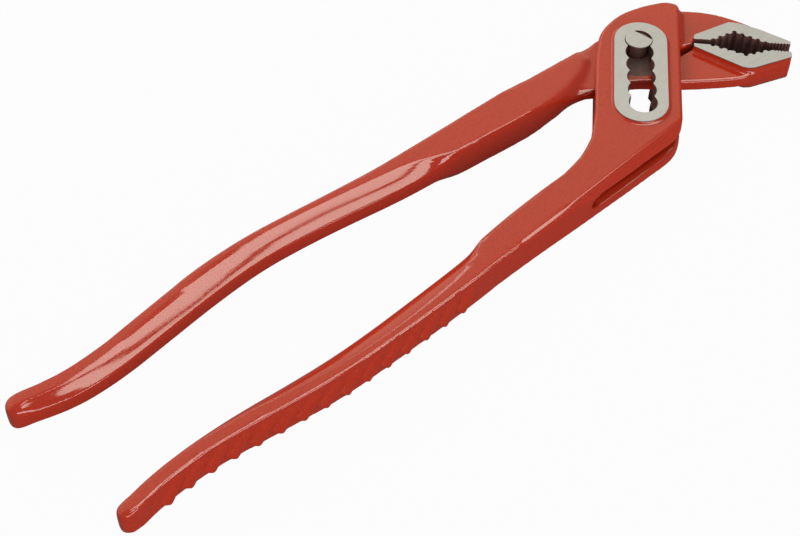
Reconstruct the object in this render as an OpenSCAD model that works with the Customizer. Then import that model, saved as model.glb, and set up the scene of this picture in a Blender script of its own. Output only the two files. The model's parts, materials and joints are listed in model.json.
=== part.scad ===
// Water pump pliers with a box joint, lying flat on the back rim of the adjusting slot.
// Millimetres. The jaws point to +X, the handles to -X, and +Z is up.
// Plan points are given in the slot frame: the pin's first notch is the origin,
// the slot runs along -Y and the mouth of the jaws lies along +X.

/* [Levers] */
// Thickness of both levers at necks and handles
lever_t = 10.4; // [9.6:0.1:11]
// Half width of the box head, measured from the slot's centre line
head_half_w = 12.4; // [12.2:0.1:12.8]
// Gap between the two cheeks of the box head
mortise_t = 4.0; // [3.6:0.1:4.4]
// Play of the inner lever's web on each side of that gap
web_play = 0.1; // [0.05:0.05:0.2]
// Radius of the inner lever's hub around the pin
hub_r = 10.4; // [10:0.1:10.4]
// Thickness of the inner lever's neck where it meets the head
shoulder_t = 5.4; // [5:0.1:6.6]
// Length over which that neck grows to the full thickness
ramp_len = 20; // [14:1:26]

/* [Adjusting slot] */
// Number of notches
notch_count = 6; // [5:1:6]
// Distance from one notch to the next
notch_pitch = 5.28; // [5.1:0.02:5.4]
// Radius of one notch
notch_r = 4.15; // [4.05:0.05:4.2]
// Half width of the necks between notches
neck_half_w = 3.3; // [3.25:0.05:3.4]
// Lean of the row of notches from the head's length
slot_lean = 2.5; // [0:0.5:2.5]
// Width of the ground rim around the notches
rim_w = 3.6; // [3.2:0.1:3.8]
// Offset of that rim from the first notch, toward the jaws
rim_shift = 0.6; // [0:0.1:0.8]
// Height of the rim above the cheek
rim_h = 0.9; // [0.6:0.1:1.1]
// Depth of the groove in the back rim that takes the pin's back head
groove_depth = 1.1; // [0.9:0.1:1.3]

/* [Pivot pin] */
// Play of the pin between the necks, each side
pin_play = 0.15; // [0.1:0.05:0.25]
// Running clearance of the inner lever on the pin, each side
bore_play = 0.05; // [0.03:0.01:0.08]
// Thickness of the flatted front end
pin_end_t = 0.4; // [0.3:0.1:0.8]
// Distance of the flat from the pin's axis
pin_flat = 2.1; // [1.8:0.1:2.4]
// Direction that the flat faces, from +X toward +Y in the slot frame
pin_flat_dir = 57; // [45:1:62]

/* [Jaws] */
// Thickness across the ground jaw pads
pad_t = 8; // [6:0.1:8.4]
// Thickness of the upper jaw's painted plate
upper_plate_t = 4.6; // [4.4:0.1:5.2]
// Height of the upper mouth line above the pin
upper_mouth_y = 4.3; // [4.2:0.1:4.6]
// Height of the lower mouth line above the pin
lower_mouth_y = 3.1; // [2.8:0.1:3.1]
// Slope of the lower mouth line at rest, in degrees
lower_mouth_slope = -2.5; // [-4:0.5:-2.5]
// Distance from the pin to the back end of the mouth
mouth_back = 16.7; // [16.4:0.1:17]
// Distance from the pin to the jaw tips
mouth_tip = 45.2; // [44:0.1:46]
// Spacing of the teeth in the hollow
tooth_pitch = 2.1; // [1.8:0.05:2.4]
// Radius of the gullets between those teeth
gullet_r = 0.7; // [0.5:0.02:0.8]
// Spacing of the fine teeth on the front flats
fine_pitch = 0.9; // [0.8:0.1:1.2]
// Radius of the gullets between the fine teeth
fine_r = 0.28; // [0.2:0.02:0.35]

/* [Handles] */
// Angle of the handles below the mouth line
handle_angle = 45; // [44:0.5:46]
// Length of the outer lever's handle, from its neck to the round of its tip
outer_handle_len = 142; // [130:1:156]
// Length of the inner lever's handle, from its neck to the round of its tip
inner_handle_len = 174; // [160:1:190]
// Width of both handles in the grip
grip_w = 7.2; // [6.8:0.1:7.8]
// Half height of the land left along the inner side of the grips
land_h = 2.2; // [1.8:0.1:2.5]
// Loss of thickness toward the tips, each side
tip_taper = 1; // [0.5:0.1:1.2]
// Length of the ribbed stretch of each handle
rib_stretch = 99; // [60:1:100]
// Bare length between that stretch and the round of the tip
rib_end = 6; // [5:1:14]
// Spacing of the grip ribs along the handle
rib_pitch = 6.6; // [6.2:0.1:7.2]
// Height of the grip ribs at mid thickness
rib_h = 0.8; // [0.5:0.1:1.2]
// Tilt of the grip ribs
rib_tilt = 42; // [30:1:45]
// Lean of the ribs into the handle toward the front face
rib_lean = 5; // [2:1:7]

/* [Hidden] */
$fn = 64;
paint = [0.74, 0.22, 0.15];
steel = [0.72, 0.71, 0.67];
eps = 0.01;

half_t = lever_t / 2;
web_t = mortise_t - 2 * web_play;
rim_r = notch_r + rim_w;
rim_z = half_t + rim_h;
slot_len = (notch_count - 1) * notch_pitch;
pin_r = neck_half_w - pin_play;
bore_r = pin_r + bore_play;
pin_end_play = 0.2;
pin_end_r = notch_r - pin_end_play;
pin_end_gap = 0.05;
pin_front = rim_z + pin_end_gap;
groove_play = 0.15;
groove_r = notch_r + groove_play;
spigot_r = 1.6;
spigot_len = 3;
spigot_gap = 0.2;
root_play = 0.45;
root_r = hub_r + root_play;
through = 2 * rim_z + 2;

// Handle stations from neck to tip: share of the handle's length, outward bow of the outer edge,
// width over that of the grip, and distance of the bevel's crease from the outer edge
outer_neck = [-20, -70];
outer_shape = [
    [0, 0.3, 3.5, 13.3], [0.083, 0.6, 2.8, 12.5], [0.166, 1.1, 1.8, 8.9], [0.22, 1.7, 1.4, 4.8],
    [0.29, 2.3, 1.2, 3.3], [0.372, 2.8, 0.8, 2.5], [0.462, 3.2, 0.4, 2.4], [0.552, 3.3, 0.2, 2.7],
    [0.648, 2.4, -0.2, 3.3], [0.745, 1.0, -0.8, 3.5], [0.834, 0.2, -1.7, 3.5], [0.924, 1.0, -2.1, 3.5],
    [1, 3.1, -2.2, 3.4]
];
inner_neck = [-32, -18];
inner_shape = [
    [0, 0.6, 4.8, 14.6], [0.081, 0.5, 4.0, 13.6], [0.162, 0.5, 3.0, 11.2], [0.22, 0.5, 2.6, 8.4],
    [0.272, 0.5, 2.3, 4.8], [0.33, 0.6, 1.6, 3.3], [0.405, 1.4, 0.7, 2.5], [0.486, 2.5, 0.3, 2.1],
    [0.572, 3.4, 0.5, 1.9], [0.665, 2.7, 1.1, 1.9], [0.757, 0.4, 1.0, 1.9], [0.85, -2.1, 0.6, 1.7],
    [0.93, -2.7, -0.1, 1.7], [1, -0.4, -1.0, 1.8]
];
function stations(shape, length) = [for (s = shape) [s[0] * length, s[1], grip_w + s[2], s[3]]];
outer_stations = stations(outer_shape, outer_handle_len);
inner_stations = stations(inner_shape, inner_handle_len);

// A smooth curve through the points, with the given number of steps between two of them
function blend(a, b, c, d, t) =
    (2 * b + (c - a) * t + (2 * a - 5 * b + 4 * c - d) * t * t + (3 * b - a - 3 * c + d) * t * t * t) / 2;
function curve(pts, steps) = let (last = len(pts) - 1) concat(
    [for (i = [0 : last - 1]) for (k = [0 : steps - 1])
        blend(pts[max(i - 1, 0)], pts[i], pts[i + 1], pts[min(i + 2, last)], k / steps)],
    [pts[last]]);
// The same curve sampled halfway between its steps, so that a cutter's rows miss the outline's corners
function curve_between(pts, steps) = let (last = len(pts) - 1)
    [for (i = [0 : last - 1]) for (k = [0 : steps - 1])
        blend(pts[max(i - 1, 0)], pts[i], pts[i + 1], pts[min(i + 2, last)], (k + 0.4) / steps)];
function arc(centre, r, a0, a1, steps) =
    [for (k = [0 : steps]) centre + r * [cos(a0 + (a1 - a0) * k / steps), sin(a0 + (a1 - a0) * k / steps)]];
function turn(p, a) = [p.x * cos(a) - p.y * sin(a), p.x * sin(a) + p.y * cos(a)];
function reverse(list) = [for (i = [len(list) - 1 : -1 : 0]) list[i]];

// Grip geometry. side is +1 on the outer lever and -1 on the inner lever.
along = turn([-1, 0], handle_angle);
function outward(side) = side * turn(along, 90);
function grip_edge(st, neck, side) = [for (s = st) neck + along * s[0] + outward(side) * s[1]];
function inner_edge(st, neck, side) = [for (s = st) neck + along * s[0] + outward(side) * (s[1] - s[2])];
function tip_round(st, neck, side) = let (
    s = st[len(st) - 1],
    mid = neck + along * s[0] + outward(side) * (s[1] - s[2] / 2),
    a = atan2(outward(side).y, outward(side).x))
    arc(mid, s[2] / 2, a - side * 15, a - side * 165, 10);

outer_grip = curve(outer_stations, 3);
inner_grip = curve(inner_stations, 3);
outer_bevel = curve_between(outer_stations, 2);
inner_bevel = curve_between(inner_stations, 2);

// Outer lever: head, neck and handle in one outline
neck_root = [[-13.4, -40.5], [-16.3, -48.3], [-20.9, -55.6]];
outer_outline = concat(
    [[-head_half_w, -30]],
    curve([[-head_half_w, -8], [-11.7, 0.6], [-10.3, 5.2], [-7.9, 9.1], [-4.4, 12.9],
        [0.9, 16.3], [5.4, 18.3], [8.6, 19.2]], 4),
    curve([[10.6, 18.8], [11.8, 18.3], [head_half_w, 17.3]], 2),
    curve([[head_half_w, -30.4], [11.9, -34], [10.3, -37.8], [7.7, -41.2]], 3),
    grip_edge(outer_grip, outer_neck, 1),
    tip_round(outer_stations, outer_neck, 1),
    reverse(inner_edge(outer_grip, outer_neck, 1)),
    reverse(curve(neck_root, 4))
);

// Space between the cheeks: closed at the upper jaw's root and at the neck, open elsewhere
mortise_end = [-17, -51.6];
mortise_foot = [-10.6, -61.6];
mortise_outline = concat(
    [[-30, root_r + 2.8]],
    arc([0, 0], root_r, 86, 2, 18),
    [[30, 0.5], [30, -80], mortise_foot + [1, -18], mortise_foot, mortise_end, [-30, -49.5]]
);
// The closed end is a full round between the cheeks
module mortise_round() {
    run = mortise_end - mortise_foot;
    translate([mortise_foot.x, mortise_foot.y, 0]) rotate(atan2(run.y, run.x)) rotate([0, 90, 0])
        translate([0, 0, -mortise_t]) cylinder(r = mortise_t / 2, h = norm(run) + 2 * mortise_t);
}

// Rounded front edge of the box head along its neck: the cutter runs out toward the handle
head_edge = [10.6, -37.4];
head_edge_dir = 226.2;
head_edge_lean = 3;
head_edge_w = 3.2;
head_edge_len = 70;
head_edge_over = 10;
head_edge_h = 2.4;
// Its cross-section in shares of width and height: the rounded edge, then three corners outside the head
head_edge_shares = [[-1, 0], [-0.5, -0.3], [-0.06, -1], [1, -1], [1, 1], [-1, 1]];
module head_edge_cutter() {
    section = [for (p = head_edge_shares) [p.x * head_edge_w, p.y * head_edge_h]];
    translate([head_edge.x, head_edge.y, half_t]) rotate(head_edge_dir + head_edge_lean)
        translate([-head_edge_over, 0, 0]) rotate([90, 0, 90])
            linear_extrude(head_edge_len) polygon(section);
}
// The mouth of the space between the cheeks flares along that edge
flare_w = 1.6;
flare_h = 0.5;
flare_len = 41;
module mortise_flare() {
    section = [for (x = [-1, 1]) for (z = [x, -x]) [x * flare_w, z * (mortise_t / 2 + (1 + x) * flare_h)]];
    translate([head_edge.x, head_edge.y, 0]) rotate(head_edge_dir)
        translate([-head_edge_over, 0, 0]) rotate([90, 0, 90])
            linear_extrude(flare_len) polygon(section);
}

// Inner lever: hub, lower jaw, neck and handle in one outline
function lower_mouth(x) = [x, lower_mouth_y + x * tan(lower_mouth_slope)];
lower_apex = [31.8, -1.3];
lower_mouth_line = [lower_mouth(mouth_tip), lower_mouth(38.5), lower_apex,
    lower_mouth(22.2), lower_mouth(mouth_back)];
lower_tip = lower_mouth_line[0] + [0.1, -2.4];
inner_outline = concat(
    arc([0, 0], hub_r, -8, 135, 26),
    curve([[-12, 3.1], [-16.4, -0.6], [-20.1, -4.1], [-24.4, -8.8]], 2),
    grip_edge(inner_grip, inner_neck, -1),
    tip_round(inner_stations, inner_neck, -1),
    reverse(inner_edge(inner_grip, inner_neck, -1)),
    curve([[-18.6, -21.9], [-14, -19], [-6, -14.9], [1, -12.9], [13, -12.4], [29, -9.6], [34, -7.2]], 3),
    [lower_tip],
    lower_mouth_line,
    [[12.3, -1.4]]
);
lower_pad_outline = concat([lower_tip + [0, 0.2]], lower_mouth_line,
    [lower_mouth(mouth_back) + [-0.2, -1.2]],
    [for (move = [[-1.4, -5.3], [0.2, -5.7], [2.2, -5.4]]) lower_apex + move]);

// Upper jaw, on the outer lever
upper_apex = [28.8, 8.3];
upper_mouth = [[mouth_back, upper_mouth_y], [22.4, upper_mouth_y], upper_apex, [37.8, upper_mouth_y],
    [mouth_tip, upper_mouth_y]];
upper_plate_outline = concat(
    [[11.3, 1.4]], upper_mouth,
    [[mouth_tip + 0.1, 5.4]],
    curve([[44.8, 6.8], [36.3, 12.4], [28, 16.6], [20, 18.6], [11, 18.6]], 4),
    [[8.6, 10]]
);
// Step between the cheeks and the jaw plate
root_step_w = 0.9;
root_step_t = (lever_t + upper_plate_t) / 2;
root_step_outline = [[head_half_w - 2, 3], [head_half_w + root_step_w, 4.4],
    [head_half_w + root_step_w, 17.6], [head_half_w - 2, 18]];
upper_pad_outline = concat(upper_mouth,
    [[mouth_tip, 5.6], [36.1, 10.3], [30.4, 12.4], [27.3, 12.7], [mouth_back - 0.1, 6]]);

// The part frame: handles along -X, bounding box centred on the origin, resting on z = 0
plan = [for (p = concat(outer_outline, inner_outline, upper_plate_outline)) turn(p, -handle_angle)];
plan_x = [for (p = plan) p.x];
plan_y = [for (p = plan) p.y];
plan_mid = [(min(plan_x) + max(plan_x)) / 2, (min(plan_y) + max(plan_y)) / 2];
module placed() translate([-plan_mid.x, -plan_mid.y, rim_z]) rotate(-handle_angle) children();

module stadium(r, z0, z1) {
    for (y = [0, -slot_len]) translate([0, y, z0]) cylinder(r = r, h = z1 - z0);
    translate([-r, -slot_len, z0]) cube([2 * r, slot_len, z1 - z0]);
}
module rim(z0, z1) translate([rim_shift, 0, 0]) stadium(rim_r, z0, z1);

// Notched slot through both cheeks, and the groove for the pin's back head
module slot() rotate(slot_lean) {
    for (i = [0 : notch_count - 1])
        translate([0, -i * notch_pitch, 0]) cylinder(r = notch_r, h = through, center = true);
    translate([-neck_half_w, -slot_len, -through / 2]) cube([2 * neck_half_w, slot_len, through]);
    stadium(groove_r, -through / 2, -rim_z + groove_depth);
}

// Round gullets along a flank from a to b
module gullets(a, b, pitch, r) {
    n = floor(norm(b - a) / pitch);
    for (i = [0 : n])
        translate(a + (b - a) * i / n) cylinder(r = r, h = 2 * pad_t, center = true, $fn = 24);
}

// Bevel cutter along the inner side of a grip, front half.
// Its cross-section is a band between the bevel curve and a curve well outside the lever.
bevel_steps = 4;
bevel_run = 1.6;
bevel_bulge = 0.2;
// How far the cutter reaches past the lever: beside the bevel, outside it and beyond the tip
bevel_over = 1.5;
bevel_band = 5;
bevel_end = 12;
function bevel_section(w, c) = let (
    e = min(max((w - c) / bevel_run, 0), 1),
    a = [min(c, w + 0.3), half_t],
    b = [w + (1 - e), half_t + (land_h - half_t) * max(e, 0.12)],
    m = (a + b) / 2,
    k = m + bevel_bulge * ([b.x, a.y] - m),
    lead = (k - a) / max(norm(k - a), eps),
    tail = (b - k) / max(norm(b - k), eps))
    concat([a - bevel_over * lead],
        [for (i = [0 : bevel_steps]) let (t = i / bevel_steps)
            a * (1 - t) * (1 - t) + 2 * k * t * (1 - t) + b * t * t],
        [b + bevel_over * tail]);
module bevel_cutter(grip, neck, side) {
    rows = [for (s = grip) [for (q = bevel_section(s[2], s[3]))
        let (p = neck + along * s[0] + outward(side) * (s[1] - q.x)) [p.x, p.y, q.y]]];
    last = rows[len(rows) - 1];
    inner = concat(rows, [[for (p = last) p + bevel_end * [along.x, along.y, 0]]]);
    shift = bevel_band * [-outward(side).x, -outward(side).y, 1];
    m = len(inner[0]);
    n = len(inner);
    points = [for (move = [[0, 0, 0], shift]) for (row = inner) for (p = row) p + move];
    function in(i, j) = i * m + j;
    function out(i, j) = n * m + i * m + j;
    quads = concat(
        [for (i = [0 : n - 2]) for (j = [0 : m - 2])
            [in(i, j), in(i + 1, j), in(i + 1, j + 1), in(i, j + 1)]],
        [for (i = [0 : n - 2]) for (j = [0 : m - 2])
            [out(i, j + 1), out(i + 1, j + 1), out(i + 1, j), out(i, j)]],
        [for (i = [0 : n - 2]) [out(i, 0), out(i + 1, 0), in(i + 1, 0), in(i, 0)]],
        [for (i = [0 : n - 2]) [in(i, m - 1), in(i + 1, m - 1), out(i + 1, m - 1), out(i, m - 1)]],
        [for (j = [0 : m - 2]) [in(0, j), in(0, j + 1), out(0, j + 1), out(0, j)]],
        [for (j = [0 : m - 2]) [out(n - 1, j), out(n - 1, j + 1), in(n - 1, j + 1), in(n - 1, j)]]);
    faces = [for (q = quads) each [[q[0], q[1], q[2]], [q[0], q[2], q[3]]]];
    polyhedron(points, side < 0 ? faces : [for (f = faces) reverse(f)], convexity = 6);
}
module bevels(grip, neck, side) {
    bevel_cutter(grip, neck, side);
    mirror([0, 0, 1]) bevel_cutter(grip, neck, side);
}

// One row of slanted ribs on the outer side of a grip. A rib is a low arched bar.
rib_half_w = 2.3;
rib_sink = 0.9;
rib_margin = 0.1;
rib_front = 1.5;
rib_span = lever_t - rib_margin - rib_front;
rib_z = (rib_margin - rib_front) / 2;
rib_len = (rib_span - 2 * rib_half_w * sin(rib_tilt)) / cos(rib_tilt);
rib_foot = 0.2;
rib_arch = [for (k = [-4 : 4]) [k / 4 * rib_half_w, rib_h - (rib_h + rib_foot) * pow(k / 4, 4)]];
rib_section = concat([[-rib_half_w, -rib_sink]], rib_arch, [[rib_half_w, -rib_sink]]);
function bow_at(grip, s) = lookup(s, [for (g = grip) [g[0], g[1]]]);
module ribs(grip, neck, side, length) {
    count = floor(rib_stretch / rib_pitch);
    for (i = [0 : count - 1]) {
        s = length - rib_end - rib_stretch + i * rib_pitch;
        p = neck + along * s + outward(side) * bow_at(grip, s);
        slope = atan2(bow_at(grip, s + 2) - bow_at(grip, s - 2), 4);
        translate([p.x, p.y, rib_z])
            rotate(180 + handle_angle + side * slope)
                rotate([side * rib_lean, 0, 0]) rotate([0, -rib_tilt, 0])
                    linear_extrude(rib_len, center = true) polygon([for (q = rib_section) [q.x, side * q.y]]);
    }
}

// Wedges that thin a handle toward its tip, front and back
taper_start = 0.62;
module taper_cutter(neck, length) {
    run = length * (1 - taper_start) + grip_w;
    section = [[0, half_t], [run, half_t - tip_taper], [run, half_t + 1], [0, half_t + 1]];
    p = neck + along * length * taper_start;
    for (side = [0, 1]) mirror([0, 0, side])
        translate([p.x, p.y, 0]) rotate(180 + handle_angle) rotate([90, 0, 0])
            linear_extrude(6 * grip_w, center = true) polygon(section);
}

module upper_jaw() {
    difference() {
        union() {
            linear_extrude(upper_plate_t, center = true) polygon(upper_plate_outline);
            linear_extrude(root_step_t, center = true) polygon(root_step_outline);
            linear_extrude(pad_t, center = true) polygon(upper_pad_outline);
        }
        gullets(upper_mouth[1], upper_mouth[2], tooth_pitch, gullet_r);
        gullets(upper_mouth[2], upper_mouth[3], tooth_pitch, gullet_r);
        gullets(upper_mouth[3], upper_mouth[4], fine_pitch, fine_r);
    }
}

module outer_lever() {
    color(paint) placed() difference() {
        union() {
            difference() {
                linear_extrude(lever_t, center = true) polygon(outer_outline);
                linear_extrude(mortise_t, center = true) polygon(mortise_outline);
                mortise_round();
                head_edge_cutter();
                mortise_flare();
                bevels(outer_bevel, outer_neck, 1);
            }
            rim(half_t - 1, rim_z);
            rim(-rim_z, 1 - half_t);
            upper_jaw();
            ribs(outer_grip, outer_neck, 1, outer_handle_len);
        }
        slot();
        taper_cutter(outer_neck, outer_handle_len);
    }
}

// Shoulder of the inner lever: its neck keeps clear of the head from closed to wide open,
// in every notch. Between the cheeks only the web is left.
open_limit = 44;
close_limit = 3.8;
shoulder_gap = 0.6;
last_pin = turn([0, -slot_len], slot_lean);
shoulder_x = head_half_w + last_pin.x + shoulder_gap;
function shoulder_line(a, t) = turn([-shoulder_x, t], a);
shoulder_elbow = shoulder_line(-close_limit, -shoulder_x * tan((open_limit + close_limit) / 2));
shoulder_top = shoulder_line(open_limit, 30);
reach = 3 * inner_handle_len;
shoulder_outline = concat(
    [shoulder_top, shoulder_elbow],
    [for (p = neck_root) turn(p - last_pin, -close_limit) - [shoulder_gap, 0]],
    [[0, -reach], [-reach, -reach], [-reach, shoulder_top.y]]
);
// Thickness of the neck seen from the side: it grows from the shoulder to the handle
ramp_dir = 200;
ramp_start = 4;
module neck_body() {
    rise = (lever_t - shoulder_t) / 2 / ramp_len;
    end = ramp_start + ramp_len + 1 / rise;
    top = [[-reach, shoulder_t / 2], [ramp_start, shoulder_t / 2], [end, half_t + 1], [reach, half_t + 1]];
    bottom = [for (p = top) [p.x, -p.y]];
    intersection() {
        linear_extrude(lever_t + 1, center = true) polygon(shoulder_outline);
        translate([shoulder_elbow.x, shoulder_elbow.y, 0]) rotate(ramp_dir) rotate([90, 0, 0])
            linear_extrude(2 * reach, center = true) polygon(concat(bottom, reverse(top)));
    }
}

module inner_lever() {
    color(paint) placed() difference() {
        union() {
            difference() {
                intersection() {
                    linear_extrude(lever_t, center = true) polygon(inner_outline);
                    union() {
                        cube([2 * reach, 2 * reach, web_t], center = true);
                        neck_body();
                    }
                }
                bevels(inner_bevel, inner_neck, -1);
            }
            linear_extrude(pad_t, center = true) polygon(lower_pad_outline);
            ribs(inner_grip, inner_neck, -1, inner_handle_len);
        }
        cylinder(r = bore_r, h = lever_t, center = true);
        taper_cutter(inner_neck, inner_handle_len);
        gullets(lower_mouth_line[3], lower_mouth_line[2], tooth_pitch, gullet_r);
        gullets(lower_mouth_line[2], lower_mouth_line[1], tooth_pitch, gullet_r);
        gullets(lower_mouth_line[1], lower_mouth_line[0], fine_pitch, fine_r);
    }
}

// Round pin: it slides in the slot, and its back head runs in the groove
module pivot_pin() {
    back = groove_play - rim_z;
    color(steel) placed() difference() {
        union() {
            translate([0, 0, back]) cylinder(r = pin_r, h = pin_front - back);
            translate([0, 0, back]) cylinder(r = pin_end_r, h = groove_depth - 2 * groove_play);
        }
        translate([0, 0, pin_front - spigot_len - spigot_gap])
            cylinder(r = spigot_r + bore_play, h = through);
    }
}

// Front end of the pin: round with one flat, it turns with the inner lever
module pin_end() {
    color(steel) placed() union() {
        difference() {
            translate([0, 0, pin_front]) cylinder(r = pin_end_r, h = pin_end_t);
            rotate(pin_flat_dir) translate([pin_flat, -pin_end_r, 0])
                cube([pin_end_r, 2 * pin_end_r, through]);
        }
        translate([0, 0, pin_front - spigot_len]) cylinder(r = spigot_r, h = spigot_len + pin_end_t / 2);
    }
}

outer_lever();
inner_lever();
pivot_pin();
pin_end();
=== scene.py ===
"""Looks of a pair of water pump pliers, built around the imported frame.

The levers are drop forgings: their edges are rounded and painted first, and then the slot, the rims
and the jaw pads are ground and cut, which leaves those faces bare and their edges crisp.
The pieces here are made in the same order from the frame's own solids.
"""

import json
import math

import bmesh
import bpy
import numpy as np
from mathutils import Matrix, Vector
from mathutils.bvhtree import BVHTree

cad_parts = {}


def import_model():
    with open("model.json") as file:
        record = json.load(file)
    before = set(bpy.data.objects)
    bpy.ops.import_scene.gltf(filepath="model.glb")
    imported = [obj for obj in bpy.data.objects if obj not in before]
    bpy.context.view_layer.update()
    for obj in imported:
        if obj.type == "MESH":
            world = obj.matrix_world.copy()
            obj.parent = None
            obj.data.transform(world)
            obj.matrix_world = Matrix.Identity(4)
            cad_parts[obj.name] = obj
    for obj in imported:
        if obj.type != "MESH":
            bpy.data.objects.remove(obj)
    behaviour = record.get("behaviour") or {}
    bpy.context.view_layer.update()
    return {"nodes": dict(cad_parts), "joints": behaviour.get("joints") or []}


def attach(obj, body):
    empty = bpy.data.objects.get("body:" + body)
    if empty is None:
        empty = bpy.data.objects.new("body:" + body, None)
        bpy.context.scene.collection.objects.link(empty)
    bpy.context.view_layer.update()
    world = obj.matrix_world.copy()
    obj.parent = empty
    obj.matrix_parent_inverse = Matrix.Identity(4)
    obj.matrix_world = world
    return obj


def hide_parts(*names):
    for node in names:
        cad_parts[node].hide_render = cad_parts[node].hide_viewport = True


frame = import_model()

MM = 0.001

# Sizes in millimetres and degrees, in the slot frame: the first notch is its origin, the slot runs along
# -Y and the mouth opens along +X
HANDLE_ANGLE = 45
PAD_HALF = 4.0
MORTISE_T = 4.0
WEB_HALF = 1.9
NOTCH_COUNT = 6
NOTCH_PITCH = 5.28
NOTCH_R = 4.15
NECK_HALF_W = 3.3
SLOT_LEAN = 2.5
GROOVE_R = 4.3
GROOVE_DEPTH = 1.1
BORE_R = 3.2
UPPER_MOUTH_Y = 4.3
LOWER_MOUTH_Y = 3.1
LOWER_MOUTH_SLOPE = -2.5
MOUTH_BACK = 16.7
MOUTH_TIP = 45.2
TOOTH_PITCH = 2.1
GULLET_R = 0.7
FINE_PITCH = 0.9
FINE_R = 0.28


def lower_mouth(x):
    return (x, LOWER_MOUTH_Y + x * math.tan(math.radians(LOWER_MOUTH_SLOPE)))


UPPER_MOUTH = [
    (MOUTH_BACK, UPPER_MOUTH_Y),
    (22.4, UPPER_MOUTH_Y),
    (28.8, 8.3),
    (37.8, UPPER_MOUTH_Y),
    (MOUTH_TIP, UPPER_MOUTH_Y),
]
LOWER_MOUTH = [
    lower_mouth(MOUTH_BACK),
    lower_mouth(22.2),
    (31.8, -1.3),
    lower_mouth(38.5),
    lower_mouth(MOUTH_TIP),
]

# How far the cutter of the mouth starts behind it, ends past its tip, and reaches across the gap of each jaw
MOUTH_LEAD = 0.4
MOUTH_PAST = 5
MOUTH_REACH = {1: -9, -1: 12}
# The slot's rim lies to the left of this line, and the jaw pads to its right
PAD_LINE = 14

# Forging, in millimetres: remeshed cells, spare metal that grinding takes off, and the distances from the
# solid between which a point comes to belong to a rounded edge
CELL = 0.3
SPARE = 1.2
EDGE_NEAR, EDGE_FAR = 0.05, 0.12
# The cells lie askew, so that no long edge runs along a row of them
CELL_TURN = math.radians(22.5)
# The slot's fillers stay off the mortise and reach past the notches; the mouth's go into the metal
PLUG_GAP = 0.3
PLUG_OVER = 0.8
MOUTH_FILL = 1.5
# Share of the way to its neighbours that a point moves per round, and the rounds that shape each part
STEP = 0.5
SKIN_ROUNDS = 4
HEAD_ROUNDS = 10
SOFT_ROUNDS = 80
RIB_ROUNDS = 6
EDGE_ROUNDS = 3
FAIR_ROUNDS = 80
SIDE_ROUNDS = 120
LAST_ROUNDS = 2
# A face is ground if it lies flat at that height; a point settles on a face that looks its way
UPRIGHT = 0.99
FLAT_WITHIN = 0.02
SAME_WAY = 0.8
# Each shaping fades in over a stretch. In the slot frame: heads, and the shoulder of the inner lever's neck
OUTER_HEAD_Y = (-55, -42)
INNER_HEAD_X = (8, 13)
SHOULDER_NEAR_X = (-12.5, -15)
SHOULDER_FAR_X = (-40, -32)
SHOULDER_LOW_Y = (-30, -22)
# Along the handle: from its tip, and in the part's X at the other end
TIP_END = (6, 1)
GRIP_TIP = (3, 10)
GRIP_END_X = (30, 18)
# Across the handle: how far the surface faces the smooth side or the front, and heights from the mid-plane
SMOOTH_FACING = (-0.35, -0.1)
FRONT_FACING = (0.15, 0.35)
FRONT_HEIGHT = (3.2, 3.6)
RIB_HEIGHT = (3.9, 3.2)
# The line of the opened head's edge across the neck, the stretch beside it, and the room below the cheek
OPEN_EDGE_X = -17.05
OPEN_EDGE_SLOPE = 0.65
OPEN_EDGE_TOP = -2.7
OPEN_EDGE_SIDE = (-0.1, -1.9)
HEAD_ROOM = 0.05

# Painted shade, in millimetres: the dark band below the ground faces, and how far past a cut face the shade
# is painted
EDGE_BAND = 0.35
FLUSH = 0.005
STEEP = 0.7
SHADE_PAST = 0.3
# Reach of the painted shade on the cheeks beside the slot and on the web
SLOT_SIDE = 9
SLOT_LOW, SLOT_HIGH = -32, 12
WEB_R = 11.2
WEB_LOW = -12
# Faces that meet at more than this angle keep a crisp edge
CRISP = math.radians(38)

hinge = next(j for j in frame["joints"] if j["name"] == "lever_hinge")
PIN = Vector(hinge["pos_m"])
MID = PIN.z
# The tool lies on the back rim of the slot
RIM_HALF = MID / MM
THROUGH = 2 * RIM_HALF
TURN = Matrix.Rotation(math.radians(-HANDLE_ANGLE), 4, "Z")
TO_PART = Matrix.Translation(PIN) @ TURN @ Matrix.Scale(MM, 4)
TO_SLOT = np.array(TO_PART.inverted())


def slot_frame(co):
    return co @ TO_SLOT[:3, :3].T + TO_SLOT[:3, 3]


def fade(value, start, end):
    """0 at start, 1 at end, smooth between them."""
    t = np.clip((value - start) / (end - start), 0, 1)
    return t * t * (3 - 2 * t)


# Outlines in the slot frame


def arc(centre, r, start, end, steps):
    angles = [start + (end - start) * i / steps for i in range(steps + 1)]
    return [(centre[0] + r * math.cos(a), centre[1] + r * math.sin(a)) for a in angles]


def lean(outline):
    c, s = math.cos(math.radians(SLOT_LEAN)), math.sin(math.radians(SLOT_LEAN))
    return [(c * x - s * y, s * x + c * y) for x, y in outline]


def box(x0, x1, y0, y1):
    return [(x0, y0), (x1, y0), (x1, y1), (x0, y1)]


def stadium(r, steps=24):
    foot = -(NOTCH_COUNT - 1) * NOTCH_PITCH
    return lean(arc((0, 0), r, 0, math.pi, steps) + arc((0, foot), r, math.pi, 2 * math.pi, steps))


def notched_slot(steps=14):
    """Circles that overlap, with straight necks between them: down the left side and up the right."""
    side = math.acos(NECK_HALF_W / NOTCH_R)
    notches = range(NOTCH_COUNT)
    outline = []
    for i in notches:
        start = 0 if i == 0 else math.pi - side
        end = 2 * math.pi if i == NOTCH_COUNT - 1 else math.pi + side
        outline += arc((0, -i * NOTCH_PITCH), NOTCH_R, start, end, steps)
    for i in reversed(notches):
        start = 0 if i == NOTCH_COUNT - 1 else -side
        end = 0 if i == 0 else side
        if start != end:
            outline += arc((0, -i * NOTCH_PITCH), NOTCH_R, start, end, steps)[1:]
    return lean(outline)


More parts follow.
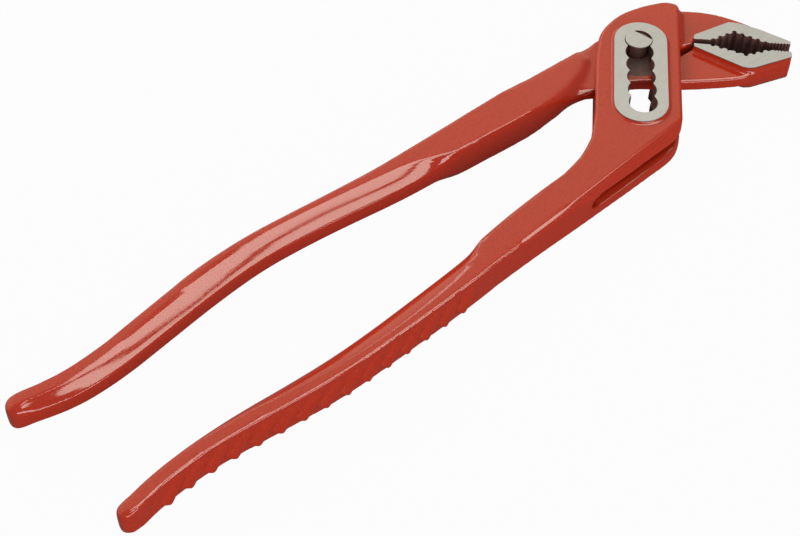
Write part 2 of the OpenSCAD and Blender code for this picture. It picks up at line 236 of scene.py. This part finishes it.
def toothed(mouth, side, steps=8):
    """The mouth line with a round gullet at every tooth gap. side is +1 where the metal lies above it."""
    points = [Vector(p) for p in mouth]
    stops = []
    for i, pitch, r in ((1, TOOTH_PITCH, GULLET_R), (2, TOOTH_PITCH, GULLET_R), (3, FINE_PITCH, FINE_R)):
        a, b = points[i], points[i + 1]
        count = math.floor((b - a).length / pitch)
        first = 0 if i == 1 else 1
        stops += [(a + (b - a) * k / count, r) for k in range(first, count + 1)]
    corners = [points[0]] + [p for p, _ in stops] + [stops[-1][0] + Vector((1, 0))]
    line = [tuple(points[0])]
    for i, (centre, r) in enumerate(stops):
        before, after = centre - corners[i], corners[i + 2] - centre
        start = math.atan2(before.y, before.x) + side * math.pi
        end = math.atan2(after.y, after.x)
        line += arc(centre, r, start, end, steps)
    return line


# Solids that fill and cut


def prism(bm, outline, z0, z1):
    low = [bm.verts.new(TO_PART @ Vector((x, y, z0))) for x, y in outline]
    high = [bm.verts.new(TO_PART @ Vector((x, y, z1))) for x, y in outline]
    faces = [bm.faces.new(low), bm.faces.new(high)]
    for i in range(len(outline)):
        j = (i + 1) % len(outline)
        faces.append(bm.faces.new((low[i], low[j], high[j], high[i])))
    bmesh.ops.recalc_face_normals(bm, faces=faces)


def mesh_object(name, bm):
    mesh = bpy.data.meshes.new(name)
    bm.to_mesh(mesh)
    bm.free()
    obj = bpy.data.objects.new(name, mesh)
    bpy.context.scene.collection.objects.link(obj)
    return obj


def apply_modifiers(obj):
    graph = bpy.context.evaluated_depsgraph_get()
    mesh = bpy.data.meshes.new_from_object(obj.evaluated_get(graph))
    obj.modifiers.clear()
    old = obj.data
    obj.data = mesh
    bpy.data.meshes.remove(old)


def cut(obj, finish, *prisms):
    """Takes the prisms away from obj. The faces that this lays bare get the finish."""
    bm = bmesh.new()
    for outline, z0, z1 in prisms:
        prism(bm, outline, z0, z1)
    tool = mesh_object("cutter", bm)
    tool.data.materials.append(finish)
    change = obj.modifiers.new("cut", "BOOLEAN")
    change.operation = "DIFFERENCE"
    change.solver = "MANIFOLD"
    change.material_mode = "TRANSFER"
    change.object = tool
    apply_modifiers(obj)
    mesh = tool.data
    bpy.data.objects.remove(tool)
    bpy.data.meshes.remove(mesh)


# Forging


def raise_faces(bm, half):
    """Adds spare metal on the flat faces that lie half away from the mid-plane."""
    for side in (1, -1):
        level = MID + side * half * MM
        faces = [
            f for f in bm.faces
            if f.normal.z * side > UPRIGHT and abs(f.calc_center_median().z - level) < FLAT_WITHIN * MM
        ]
        if not faces:
            continue
        made = bmesh.ops.extrude_face_region(bm, geom=faces)["geom"]
        verts = [v for v in made if isinstance(v, bmesh.types.BMVert)]
        bmesh.ops.translate(bm, verts=verts, vec=(0, 0, side * SPARE * MM))
        bmesh.ops.delete(bm, geom=[f for f in faces if f.is_valid], context="FACES")


def mouth_filler(bm, mouth, depth):
    """Closes the tooth gaps and covers the mouth line, so that the teeth can be cut later."""
    half = PAD_HALF + SPARE
    for a, b in zip(mouth, mouth[1:]):
        a, b = Vector(a), Vector(b)
        normal = Vector((a.y - b.y, b.x - a.x)).normalized()
        inner, outer = normal * depth, normal * -SPARE * math.copysign(1, depth)
        prism(bm, [a + outer, b + outer, b + inner, a + inner], -half, half)


def outer_fill(bm):
    for side in (1, -1):
        z0, z1 = sorted((side * (MORTISE_T / 2 + PLUG_GAP), side * (RIM_HALF + SPARE)))
        prism(bm, stadium(NOTCH_R + PLUG_OVER), z0, z1)
    mouth_filler(bm, UPPER_MOUTH, MOUTH_FILL)


def inner_fill(bm):
    mouth_filler(bm, LOWER_MOUTH, -MOUTH_FILL)


def relax(co, links, strength, rounds, weights=None):
    """Moves each point toward the weighted mean of its neighbours."""
    a, b = links.T
    if weights is None:
        weights = np.ones(len(links))
    total = np.maximum(np.bincount(a, weights, len(co)) + np.bincount(b, weights, len(co)), 1e-9)
    share = (strength / total)[:, None]
    for _ in range(rounds):
        step = weights[:, None] * (co[b] - co[a])
        pull = [np.bincount(a, step[:, k], len(co)) - np.bincount(b, step[:, k], len(co)) for k in range(3)]
        co = co + np.stack(pull, axis=1) * share
    return co


def points_of(mesh):
    co = np.empty(len(mesh.vertices) * 3)
    mesh.vertices.foreach_get("co", co)
    return co.reshape(-1, 3)


def put_points(mesh, co):
    mesh.vertices.foreach_set("co", co.ravel())
    mesh.update()


def normals_of(mesh):
    normal = np.empty(len(mesh.vertices) * 3)
    mesh.vertices.foreach_get("normal", normal)
    return normal.reshape(-1, 3)


def links_of(mesh):
    links = np.empty(len(mesh.edges) * 2, int)
    mesh.edges.foreach_get("vertices", links)
    return links.reshape(-1, 2)


def settle(co, normal, tree, share):
    """Lays the points that are close to the solid's faces onto them, and leaves the rounded edges."""
    out = co.copy()
    for i in np.flatnonzero(share > 0):
        place, face_normal, _, distance = tree.find_nearest(co[i], 2 * EDGE_FAR * MM)
        if place is None or face_normal.dot(Vector(normal[i])) < SAME_WAY:
            continue
        pull = share[i] * (1 - fade(distance / MM, EDGE_NEAR, EDGE_FAR))
        out[i] += pull * (np.array(place) - co[i])
    return out


def shoulder(p):
    """1 where the inner lever's neck meets its web, which is forged without any edge."""
    x, y = p[:, 0], p[:, 1]
    return fade(x, *SHOULDER_NEAR_X) * fade(x, *SHOULDER_FAR_X) * fade(y, *SHOULDER_LOW_Y)


def neck_room(p):
    """How far from the mid-plane the inner lever may reach, so that the opened head's edge stays clear."""
    x, y = p[:, 0], p[:, 1]
    past_edge = x + OPEN_EDGE_SLOPE * np.minimum(y, OPEN_EDGE_TOP) - OPEN_EDGE_X
    height = MORTISE_T / 2 - HEAD_ROOM + RIM_HALF * fade(past_edge, *OPEN_EDGE_SIDE)
    return np.where(x < SHOULDER_NEAR_X[0], height, RIM_HALF + SPARE)


def outer_head(p):
    """1 on the outer lever's head, 0 on its handle."""
    return fade(p[:, 1], *OUTER_HEAD_Y)


def inner_head(p):
    """1 on the inner lever's jaw, 0 on its web and handle."""
    return fade(p[:, 0], *INNER_HEAD_X)


def skin(name, node, fill):
    """The solid with its gaps filled and spare metal on its ground faces, remeshed into even cells.

    Gives the object, and a search tree of the faces that it was made from.
    """
    bm = bmesh.new()
    bm.from_mesh(frame["nodes"][node].data)
    bmesh.ops.remove_doubles(bm, verts=bm.verts, dist=1e-6)
    raise_faces(bm, RIM_HALF)
    raise_faces(bm, PAD_HALF)
    fill(bm)
    tree = BVHTree.FromBMesh(bm)
    askew = Matrix.Rotation(CELL_TURN, 4, "Z")
    bm.transform(askew)
    obj = mesh_object(name, bm)
    change = obj.modifiers.new("skin", "REMESH")
    change.mode = "VOXEL"
    change.voxel_size = CELL * MM
    change.adaptivity = 0
    apply_modifiers(obj)
    obj.data.transform(askew.inverted())
    return obj, tree


def fair_grip(co, normal, links, tip_x, side):
    """Softens the ribs and the grip's front edge, and fairs the edge and the smooth side lengthwise."""
    x, z = co[:, 0] / MM, (co[:, 2] - MID) / MM
    grip = fade(x - tip_x, *GRIP_TIP) * fade(x, *GRIP_END_X)
    smooth_side = fade(-side * normal[:, 1], *SMOOTH_FACING)
    front_edge = fade(normal[:, 2], *FRONT_FACING) * fade(z, *FRONT_HEIGHT)
    co = relax(co, links, STEP * grip * (1 - smooth_side) * fade(z, *RIB_HEIGHT), RIB_ROUNDS)
    co = relax(co, links, STEP * grip * front_edge * (1 - smooth_side), EDGE_ROUNDS)
    run = co[links[:, 1]] - co[links[:, 0]]
    lengthwise = (np.abs(run[:, 0]) / np.maximum(np.linalg.norm(run, axis=1), 1e-9)) ** 6
    co = relax(co, links, STEP * grip * np.maximum(smooth_side, front_edge), FAIR_ROUNDS, lengthwise)
    return relax(co, links, STEP * grip * smooth_side, SIDE_ROUNDS, lengthwise)


def forge(name, node, fill, head, side, room=None):
    """The lever as forged: one skin with rounded edges, slot and teeth still closed.

    head tells from plan points where the edges are rounder, side is the grip's outer side along Y, and
    room gives the most that a point may lie from the mid-plane.
    """
    obj, tree = skin(name, node, fill)
    mesh = obj.data
    co, links = points_of(mesh), links_of(mesh)
    tip_x = co[:, 0].min() / MM
    tip = fade(co[:, 0] / MM - tip_x, *TIP_END)
    soft = np.maximum(tip, shoulder(slot_frame(co)))
    co = relax(co, links, np.full(len(co), STEP), SKIN_ROUNDS)
    co = relax(co, links, STEP * head(slot_frame(co)), HEAD_ROUNDS)
    co = relax(co, links, STEP * soft, SOFT_ROUNDS)
    if room:
        most = room(slot_frame(co)) * MM
        co[:, 2] = MID + np.clip(co[:, 2] - MID, -most, most)
    put_points(mesh, co)
    normal = normals_of(mesh)
    co = settle(co, normal, tree, 1 - soft)
    co = fair_grip(co, normal, links, tip_x, side)
    co = relax(co, links, np.full(len(co), STEP / 2), LAST_ROUNDS)
    put_points(mesh, co)
    return obj


# Materials


def material(name):
    made = bpy.data.materials.new(name)
    made.use_nodes = True
    nodes = made.node_tree.nodes
    nodes.clear()
    out = nodes.new("ShaderNodeOutputMaterial")
    shader = nodes.new("ShaderNodeBsdfPrincipled")
    made.node_tree.links.new(shader.outputs[0], out.inputs[0])
    return made, nodes, made.node_tree.links, shader


def noise(nodes, links, coords, scale, detail):
    made = nodes.new("ShaderNodeTexNoise")
    made.inputs["Scale"].default_value = scale
    made.inputs["Detail"].default_value = detail
    links.new(coords, made.inputs["Vector"])
    return made.outputs["Fac"]


def ramp(nodes, links, value, stops):
    made = nodes.new("ShaderNodeValToRGB")
    points = made.color_ramp.elements
    while len(points) < len(stops):
        points.new(0.5)
    for point, (position, colour) in zip(points, stops):
        point.position = position
        point.color = (*colour, 1)
    links.new(value, made.inputs["Fac"])
    return made.outputs["Color"]


def spread(nodes, links, value, low, high):
    made = nodes.new("ShaderNodeMapRange")
    made.inputs["To Min"].default_value = low
    made.inputs["To Max"].default_value = high
    links.new(value, made.inputs["Value"])
    return made.outputs["Result"]


def bump(nodes, links, value, shader, distance, strength):
    made = nodes.new("ShaderNodeBump")
    made.inputs["Distance"].default_value = distance
    made.inputs["Strength"].default_value = strength
    links.new(value, made.inputs["Height"])
    links.new(made.outputs["Normal"], shader.inputs["Normal"])


def paint():
    made, nodes, links, shader = material("red_enamel")
    coords = nodes.new("ShaderNodeTexCoord").outputs["Object"]
    speckle = noise(nodes, links, coords, scale=2600, detail=3)
    reds = [(0.3, (0.40, 0.022, 0.007)), (0.7, (0.54, 0.036, 0.010))]
    links.new(ramp(nodes, links, speckle, reds), shader.inputs["Base Color"])
    peel = noise(nodes, links, coords, scale=900, detail=2)
    links.new(spread(nodes, links, peel, low=0.07, high=0.13), shader.inputs["Roughness"])
    shader.inputs["IOR"].default_value = 1.62
    bump(nodes, links, peel, shader, distance=0.02 * MM, strength=0.15)
    return made


def ground_steel():
    made, nodes, links, shader = material("ground_steel")
    shader.inputs["Metallic"].default_value = 1.0
    coords = nodes.new("ShaderNodeTexCoord").outputs["Object"]
    stretch = nodes.new("ShaderNodeMapping")
    stretch.inputs["Scale"].default_value = (0.06, 1, 1)
    links.new(coords, stretch.inputs["Vector"])
    lines = noise(nodes, links, stretch.outputs[0], scale=4000, detail=3)
    greys = [(0.3, (0.55, 0.55, 0.58)), (0.7, (0.62, 0.62, 0.66))]
    links.new(ramp(nodes, links, lines, greys), shader.inputs["Base Color"])
    links.new(spread(nodes, links, lines, low=0.3, high=0.42), shader.inputs["Roughness"])
    bump(nodes, links, lines, shader, distance=0.02 * MM, strength=0.4)
    return made


# Dark brown-red of cut steel and oxide, darkened further as painted shade in the slot, the mouth, the
# mortise and the bore
def cut_and_painted_shade():
    made, nodes, links, shader = material("cut_and_painted_shade")
    coords = nodes.new("ShaderNodeTexCoord").outputs["Object"]
    mottle = noise(nodes, links, coords, scale=700, detail=4)
    browns = [(0.3, (0.09, 0.044, 0.036)), (0.7, (0.17, 0.068, 0.058))]
    links.new(ramp(nodes, links, mottle, browns), shader.inputs["Base Color"])
    links.new(spread(nodes, links, mottle, low=0.4, high=0.6), shader.inputs["Roughness"])
    return made


PAINT, STEEL, CUT_AND_SHADE = paint(), ground_steel(), cut_and_painted_shade()

# The pieces


def finish_skin(obj):
    mesh = obj.data
    mesh.polygons.foreach_set("use_smooth", np.ones(len(mesh.polygons), bool))
    mesh.set_sharp_from_angle(angle=CRISP)
    mesh.update()


def grind(obj, half, outline):
    """Takes the spare metal off both faces, half away from the mid-plane, inside the outline."""
    cut(obj, STEEL, (outline, half, THROUGH), (outline, -THROUGH, -half))


def cut_mouth(obj, mouth, side):
    """Cuts the mouth line with its teeth. side is +1 on the upper jaw and -1 on the lower one."""
    back, tip = mouth[0], mouth[-1]
    far_y = MOUTH_REACH[side]
    start = back[0] - MOUTH_LEAD
    end = tip[0] + MOUTH_PAST
    outline = [(start, far_y), (start, back[1])] + toothed(mouth, side) + [(end, tip[1]), (end, far_y)]
    # The teeth and the mouth get the dark cut colour, which is partly painted shade between the jaws
    cut(obj, CUT_AND_SHADE, (outline, -THROUGH, THROUGH))


# Plan areas that are ground: the jaw pads, and the slot's rim on the head
PADS = box(14.6, 60, -20, 30)
HEAD = box(-40, 40, -60, 30)


def darken(obj, where):
    """Gives the faces that where(centre, normal) picks in the slot frame the dark colour of the cut faces,
    as painted shade.
    """
    mesh = obj.data
    dark = mesh.materials.find(CUT_AND_SHADE.name)
    count = len(mesh.polygons)
    centre, normal, index = np.empty(count * 3), np.empty(count * 3), np.empty(count, np.int32)
    mesh.polygons.foreach_get("center", centre)
    mesh.polygons.foreach_get("normal", normal)
    mesh.polygons.foreach_get("material_index", index)
    index[where(slot_frame(centre.reshape(-1, 3)), normal.reshape(-1, 3))] = dark
    mesh.polygons.foreach_set("material_index", index)


def ground_edge_shade(p, normal, half):
    """The narrow band below a ground face, painted dark as the shade line under its edge."""
    height = np.abs(p[:, 2])
    return (height > half - EDGE_BAND) & (height < half - FLUSH) & (np.abs(normal[:, 2]) < STEEP)


def painted_shade_outer(p, normal):
    """Painted shade: the mortise beside the slot, and the band under the edges of the rims and the pads."""
    x, y, z = p.T
    in_slot = (np.abs(z) < MORTISE_T / 2 + SHADE_PAST) & (np.abs(x) < SLOT_SIDE) & (y > SLOT_LOW) & (y < SLOT_HIGH)
    rim = ground_edge_shade(p, normal, RIM_HALF) & (x < PAD_LINE)
    return in_slot | rim | (ground_edge_shade(p, normal, PAD_HALF) & (x > PAD_LINE))


def painted_shade_inner(p, normal):
    """Painted shade: the web between the cheeks, except along its lower edge, and the band under the edges
    of the pads.
    """
    x, y, z = p.T
    web = (np.abs(z) < WEB_HALF + SHADE_PAST) & (np.hypot(x, y) < WEB_R) & (y > WEB_LOW)
    return web | (ground_edge_shade(p, normal, PAD_HALF) & (x > PAD_LINE))


def outer_lever():
    obj = forge("outer_lever_forging", "outer_lever", outer_fill, outer_head, -1)
    obj.data.materials.append(PAINT)
    grind(obj, RIM_HALF, HEAD)
    grind(obj, PAD_HALF, PADS)
    # The slot and the groove get the dark cut colour, which is partly painted shade inside them
    cut(obj, CUT_AND_SHADE, (notched_slot(), -THROUGH, THROUGH))
    cut(obj, CUT_AND_SHADE, (stadium(GROOVE_R), -THROUGH, -RIM_HALF + GROOVE_DEPTH))
    cut_mouth(obj, UPPER_MOUTH, 1)
    darken(obj, painted_shade_outer)
    finish_skin(obj)
    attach(obj, "outer")
    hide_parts("outer_lever")


def inner_lever():
    obj = forge("inner_lever_forging", "inner_lever", inner_fill, inner_head, 1, neck_room)
    obj.data.materials.append(PAINT)
    grind(obj, PAD_HALF, PADS)
    cut_mouth(obj, LOWER_MOUTH, -1)
    # The bore gets the dark cut colour, which is partly painted shade
    cut(obj, CUT_AND_SHADE, (arc((0, 0), BORE_R, 0, 2 * math.pi, 48)[:-1], -THROUGH, THROUGH))
    darken(obj, painted_shade_inner)
    finish_skin(obj)
    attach(obj, "inner")
    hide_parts("inner_lever")


outer_lever()
inner_lever()
# The pivot pin inside the slot gets the dark cut colour, which is partly painted shade; its end is ground
# steel
for name, finish in (("pivot_pin", CUT_AND_SHADE), ("pin_end", STEEL)):
    node = frame["nodes"][name]
    node.data.materials.clear()
    node.data.materials.append(finish)

# Camera at the photograph's angle, placed from the pin
TARGET = PIN + Vector((-104.26, -14.58, -5.8)) * MM
CAMERA_PLACE = PIN + Vector((-282.56, -227.48, 325.1)) * MM
camera = bpy.data.objects.new("camera", bpy.data.cameras.new("camera"))
bpy.context.scene.collection.objects.link(camera)
camera.data.sensor_width = 36
camera.data.lens = 72
camera.data.clip_start = 0.01
camera.location = CAMERA_PLACE
camera.rotation_mode = "QUATERNION"
camera.rotation_quaternion = (TARGET - CAMERA_PLACE).to_track_quat("-Z", "Y")
bpy.context.scene.camera = camera

# Stage

# Light of the ceiling and of the key boxes, and the direction of the lamps' long sides
PALE = (0.85, 0.80, 0.62)
WARM = (1, 0.99, 0.86)
LEVEL = (1, 0, 0)


def grey(tone):
    return (tone, tone, tone, 1)


def weighted(nodes, links, terms):
    """Sum of light path outputs, each times its share."""
    path = nodes.new("ShaderNodeLightPath")
    total = None
    for output, share in terms:
        made = nodes.new("ShaderNodeMath")
        made.operation = "MULTIPLY_ADD"
        links.new(path.outputs[output], made.inputs[0])
        made.inputs[1].default_value = share
        made.inputs[2].default_value = 0
        if total is not None:
            links.new(total, made.inputs[2])
        total = made.outputs[0]
    return total


def floor():
    """A pale table a hair below the tool, white to the camera and darker in reflections."""
    bpy.ops.mesh.primitive_plane_add(size=6, location=(0, 0, -0.05 * MM))
    obj = bpy.context.object
    obj.name = "floor"
    made, nodes, links, shader = material("white_table")
    tone = nodes.new("ShaderNodeMix")
    tone.data_type = "RGBA"
    tone.inputs["A"].default_value = grey(0.32)
    tone.inputs["B"].default_value = grey(0.1)
    links.new(weighted(nodes, links, [("Is Glossy Ray", 1)]), tone.inputs["Factor"])
    links.new(tone.outputs["Result"], shader.inputs["Base Color"])
    shader.inputs["Roughness"].default_value = 0.9
    glow = nodes.new("ShaderNodeEmission")
    glow.inputs["Strength"].default_value = 1.0
    mix = nodes.new("ShaderNodeMixShader")
    shares = [("Is Camera Ray", 0.97), ("Is Glossy Ray", 0.05), ("Is Transmission Ray", 0.97)]
    links.new(weighted(nodes, links, shares), mix.inputs["Fac"])
    links.new(shader.outputs[0], mix.inputs[1])
    links.new(glow.outputs[0], mix.inputs[2])
    out = next(n for n in nodes if n.type == "OUTPUT_MATERIAL")
    links.new(mix.outputs[0], out.inputs[0])
    obj.data.materials.append(made)


def lamp(name, place, along, size, size_y, radiance, shift=(0, 0)):
    """A soft box that faces the tool, with its long side near along, shifted in its own plane."""
    facing = Vector(place).normalized()
    across = facing.cross(Vector(along)).normalized()
    length = across.cross(facing)
    data = bpy.data.lights.new(name, "AREA")
    data.shape = "RECTANGLE"
    data.size, data.size_y = size, size_y
    data.energy = radiance * math.pi * size * size_y
    obj = bpy.data.objects.new(name, data)
    bpy.context.scene.collection.objects.link(obj)
    obj.location = Vector(place) + length * shift[0] + across * shift[1]
    obj.rotation_mode = "QUATERNION"
    obj.rotation_quaternion = Matrix((length, across, facing)).transposed().to_quaternion()
    return obj


def world():
    """A white surround for the camera, a pale ceiling for reflections, and even soft light."""
    made = bpy.data.worlds.new("studio")
    bpy.context.scene.world = made
    made.use_nodes = True
    nodes, links = made.node_tree.nodes, made.node_tree.links
    back = nodes["Background"]
    direction = nodes.new("ShaderNodeSeparateXYZ")
    links.new(nodes.new("ShaderNodeTexCoord").outputs["Generated"], direction.inputs[0])
    ceiling = ramp(nodes, links, direction.outputs["Y"], [(0.2, (0.2, 0.2, 0.2)), (0.42, PALE)])
    even = nodes.new("ShaderNodeMix")
    even.data_type = "RGBA"
    mirrored = weighted(nodes, links, [("Is Glossy Ray", 1), ("Is Transmission Ray", 1)])
    links.new(mirrored, even.inputs["Factor"])
    even.inputs["A"].default_value = grey(0.57)
    links.new(ceiling, even.inputs["B"])
    seen = nodes.new("ShaderNodeMix")
    seen.data_type = "RGBA"
    links.new(weighted(nodes, links, [("Is Camera Ray", 1)]), seen.inputs["Factor"])
    links.new(even.outputs["Result"], seen.inputs["A"])
    seen.inputs["B"].default_value = grey(1)
    links.new(seen.outputs["Result"], back.inputs["Color"])
    back.inputs["Strength"].default_value = 1.0


floor()
world()
# Two long boxes are mirrored in the gloss of the handles, with a narrow gap between them
KEY, KEY_ALONG = (0.37, -0.36, 0.857), (1, -0.6, 0)
for name, size, size_y, shift in (
    ("key_high", 0.70, 0.46, (-0.25, 0.27)),
    ("key_low", 0.62, 0.35, (-0.05, -0.225)),
):
    key = lamp(name, KEY, KEY_ALONG, size, size_y, radiance=4.8, shift=shift)
    key.visible_diffuse = False
    key.data.color = WARM
lamp("edge", (0.40, 0.74, 0.58), LEVEL, size=0.5, size_y=0.05, radiance=3)
lamp("fill", (-0.2, -0.95, 0.22), LEVEL, size=0.9, size_y=0.36, radiance=4.8)
# The back lamp lights the paint without being mirrored in it
back = lamp("back", (0, 0.85, 0.55), LEVEL, size=0.8, size_y=0.5, radiance=5)
back.visible_glossy = False
bpy.context.scene.view_settings.view_transform = "Standard"
